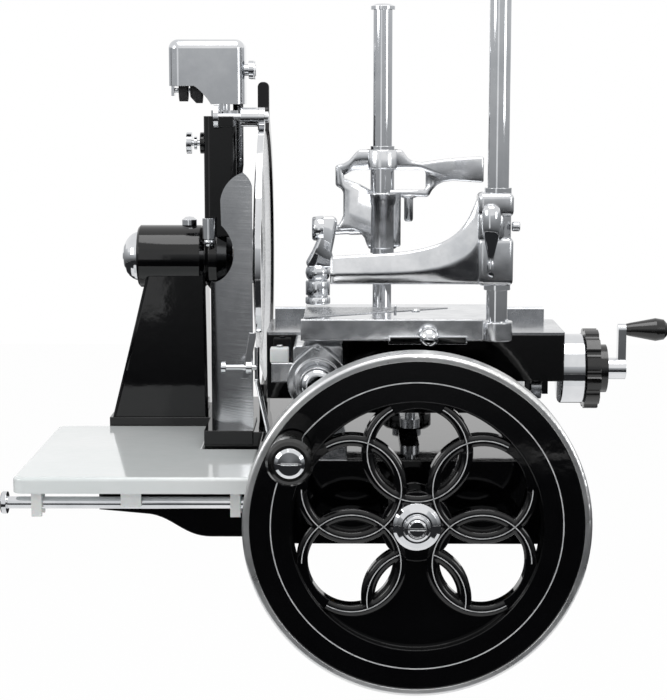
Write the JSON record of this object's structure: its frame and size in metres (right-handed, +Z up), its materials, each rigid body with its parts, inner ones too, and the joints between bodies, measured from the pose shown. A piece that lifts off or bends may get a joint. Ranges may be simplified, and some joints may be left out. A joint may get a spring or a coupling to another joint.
{
  "type": "hand-cranked meat slicer",
  "caption": "Hand-cranked flywheel meat slicer with round blade, sliding carriage and table, clamps, slice tray, guards and swing-over sharpener.",
  "frame": {"origin": "middle of the four fixing holes, on the base's underside", "axes": "+Z up, +Y away from the person at the flywheel, +X to their right"},
  "size_m": [0.8952, 0.8019, 0.867],
  "materials": {
    "black_enamel": "gloss",
    "chrome": "polished",
    "polished_alloy": "polished",
    "stainless_sheet": "satin",
    "machined_steel": "satin",
    "white_enamel": "gloss",
    "white_plastic": "satin",
    "black_grip": "gloss",
    "bronze": "satin",
    "grinding_stone": "matte"
  },
  "bodies": {
    "frame": {"base_casting": "black_enamel", "blade_pedestal": "black_enamel", "hub_dome": "chrome", "oil_cups": "chrome", "blade_guard": "black_enamel", "guard_pivot": "chrome", "guard_stay": "chrome", "slice_deflector": "stainless_sheet", "deflector_foot": "black_enamel", "sharpener_post": "black_enamel", "guide_bar": "chrome", "guide_bar_brackets": "polished_alloy", "right_rail": "machined_steel", "crank_tower": "black_enamel", "tray_rod": "chrome", "shaft_bushes": "bronze", "drive_chain": "machined_steel"},
    "tray": {"slice_tray": "white_enamel", "tray_clips": "white_plastic"},
    "edge_guard": {"edge_guard": "chrome"},
    "guard_catch": {"guard_catch": "chrome"},
    "post_knob": {"post_knob": "chrome"},
    "flywheel": {"flywheel": "black_enamel", "flywheel_rim": "chrome", "wheel_hub_cap": "chrome", "flywheel_shaft": "machined_steel", "wheel_bevels": "machined_steel", "handle_spindle": "chrome"},
    "wheel_grip": {"wheel_grip": "black_grip"},
    "crank": {"crank_shaft": "machined_steel", "crank_arm": "machined_steel"},
    "cross_shaft": {"cross_shaft": "machined_steel"},
    "blade": {"slicing_blade": "stainless_sheet", "blade_shaft": "machined_steel", "blade_sprocket": "machined_steel"},
    "carriage": {"carriage_beam": "black_enamel", "beam_cover": "stainless_sheet", "beam_rail": "machined_steel", "carriage_sleeve": "polished_alloy", "sleeve_flange": "polished_alloy", "index_drum": "chrome"},
    "rail_roller": {"rail_roller": "machined_steel"},
    "thickness_knob": {"thickness_knob": "black_grip"},
    "feed_screw": {"lead_screw": "machined_steel", "feed_crank": "chrome"},
    "feed_grip": {"feed_grip": "black_grip"},
    "table": {"meat_table": "polished_alloy", "feed_nut": "bronze", "clamp_rods": "chrome"},
    "table_lever": {"table_lever": "chrome"},
    "front_sleeve": {"front_sleeve": "chrome"},
    "front_arm": {"front_arm": "polished_alloy"},
    "cam_lever": {"cam_lever": "polished_alloy"},
    "rear_sleeve": {"rear_sleeve": "chrome"},
    "rear_clamp": {"rear_clamp": "polished_alloy"},
    "press_link": {"press_link": "chrome"},
    "press_foot": {"press_foot": "chrome"},
    "sharpener_spindle": {"sharpener_spindle": "chrome"},
    "sharpener_cover": {"sharpener_cover": "chrome"},
    "sharpening_stones": {"sharpening_stones": "grinding_stone"}
  },
  "joints": [
    {"name": "tray_lift", "type": "slide", "parent": "frame", "child": "tray", "axis": [0, 0, 1], "range_m": [0, 0.09]},
    {"name": "edge_guard_swing", "type": "hinge", "parent": "frame", "child": "edge_guard", "pos_m": [-0.15, 0.07008, 0.54097], "axis": [-1, 0, 0], "range_deg": [0, 60]},
    {"name": "catch_turn", "type": "hinge", "parent": "frame", "child": "guard_catch", "pos_m": [-0.16, -0.058, 0.201], "axis": [1, 0, 0], "range_deg": [0, 35]},
    {"name": "post_knob_turn", "type": "hinge", "parent": "frame", "child": "post_knob", "pos_m": [-0.25, 0.135, 0.503], "axis": [1, 0, 0], "continuous": true},
    {"name": "flywheel_spin", "type": "hinge", "parent": "frame", "child": "flywheel", "pos_m": [0.058, -0.3, 0.046], "axis": [0, 1, 0], "continuous": true},
    {"name": "wheel_grip_spin", "type": "hinge", "parent": "flywheel", "child": "wheel_grip", "pos_m": [-0.09464, -0.388, 0.14512], "axis": [0, 1, 0], "continuous": true},
    {"name": "crank_spin", "type": "hinge", "parent": "frame", "child": "crank", "pos_m": [0.058, 0.06, 0.12], "axis": [0, 0, 1], "continuous": true},
    {"name": "cross_shaft_spin", "type": "hinge", "parent": "frame", "child": "cross_shaft", "pos_m": [-0.15, 0.15, 0.046], "axis": [1, 0, 0], "continuous": true},
    {"name": "blade_spin", "type": "hinge", "parent": "frame", "child": "blade", "pos_m": [-0.16, 0.15, 0.336], "axis": [1, 0, 0], "continuous": true},
    {"name": "carriage_slide", "type": "slide", "parent": "frame", "child": "carriage", "axis": [0, 1, 0], "range_m": [0, 0.27]},
    {"name": "roller_spin", "type": "hinge", "parent": "carriage", "child": "rail_roller", "pos_m": [0.232, -0.045, 0.1723], "axis": [1, 0, 0], "continuous": true},
    {"name": "thickness_turn", "type": "hinge", "parent": "carriage", "child": "thickness_knob", "pos_m": [0.318, -0.003, 0.192], "axis": [1, 0, 0], "range_deg": [0, 300]},
    {"name": "table_feed", "type": "slide", "parent": "carriage", "child": "table", "axis": [1, 0, 0], "range_m": [-0.04, 0.06]},
    {"name": "feed_screw_spin", "type": "hinge", "parent": "carriage", "child": "feed_screw", "pos_m": [0.2, -0.003, 0.192], "axis": [1, 0, 0], "range_deg": [-720, 1080]},
    {"name": "feed_grip_spin", "type": "hinge", "parent": "feed_screw", "child": "feed_grip", "pos_m": [0.39, -0.003, 0.247], "axis": [1, 0, 0], "continuous": true},
    {"name": "table_lever_turn", "type": "hinge", "parent": "table", "child": "table_lever", "pos_m": [0.075, -0.24, 0.2685], "axis": [0, 1, 0], "range_deg": [-35, 35]},
    {"name": "front_clamp_slide", "type": "slide", "parent": "table", "child": "front_sleeve", "axis": [0, 0, 1], "range_m": [-0.02, 0.2]},
    {"name": "front_arm_swing", "type": "hinge", "parent": "front_sleeve", "child": "front_arm", "pos_m": [0.162, -0.22, 0.39], "axis": [0, 0, 1], "range_deg": [-30, 75]},
    {"name": "cam_turn", "type": "hinge", "parent": "front_arm", "child": "cam_lever", "pos_m": [0.151, -0.2563, 0.418], "axis": [0, 1, 0], "range_deg": [0, 90]},
    {"name": "rear_clamp_slide", "type": "slide", "parent": "table", "child": "rear_sleeve", "axis": [0, 0, 1], "range_m": [0, 0.18]},
    {"name": "rear_clamp_swing", "type": "hinge", "parent": "rear_sleeve", "child": "rear_clamp", "pos_m": [0.021, 0.04, 0.43], "axis": [0, 0, 1], "range_deg": [-40, 40]},
    {"name": "link_pivot", "type": "hinge", "parent": "rear_clamp", "child": "press_link", "pos_m": [-0.058, 0.04, 0.378], "axis": [1, 0, 0], "range_deg": [-25, 25]},
    {"name": "foot_swivel", "type": "hinge", "parent": "press_link", "child": "press_foot", "pos_m": [-0.07, 0.04, 0.3], "axis": [0, 0, 1], "range_deg": [-90, 90]},
    {"name": "sharpener_lift", "type": "slide", "parent": "frame", "child": "sharpener_spindle", "axis": [0, 0, 1], "range_m": [0, 0.03]},
    {"name": "sharpener_swing", "type": "hinge", "parent": "sharpener_spindle", "child": "sharpener_cover", "pos_m": [-0.207, 0.127, 0.6], "axis": [0, 0, 1], "range_deg": [0, 180]},
    {"name": "stones_spin", "type": "hinge", "parent": "sharpener_cover", "child": "sharpening_stones", "pos_m": [-0.25, 0.127, 0.579], "axis": [1, 0, 0], "continuous": true}
  ],
  "couplings": [
    {"joint": "crank_spin", "follows": "flywheel_spin", "ratio": 1},
    {"joint": "cross_shaft_spin", "follows": "flywheel_spin", "ratio": -2},
    {"joint": "blade_spin", "follows": "flywheel_spin", "ratio": -3},
    {"joint": "roller_spin", "follows": "carriage_slide", "rad_per_m": -62.5},
    {"joint": "feed_screw_spin", "follows": "table_feed", "rad_per_m": 314.15}
  ]
}
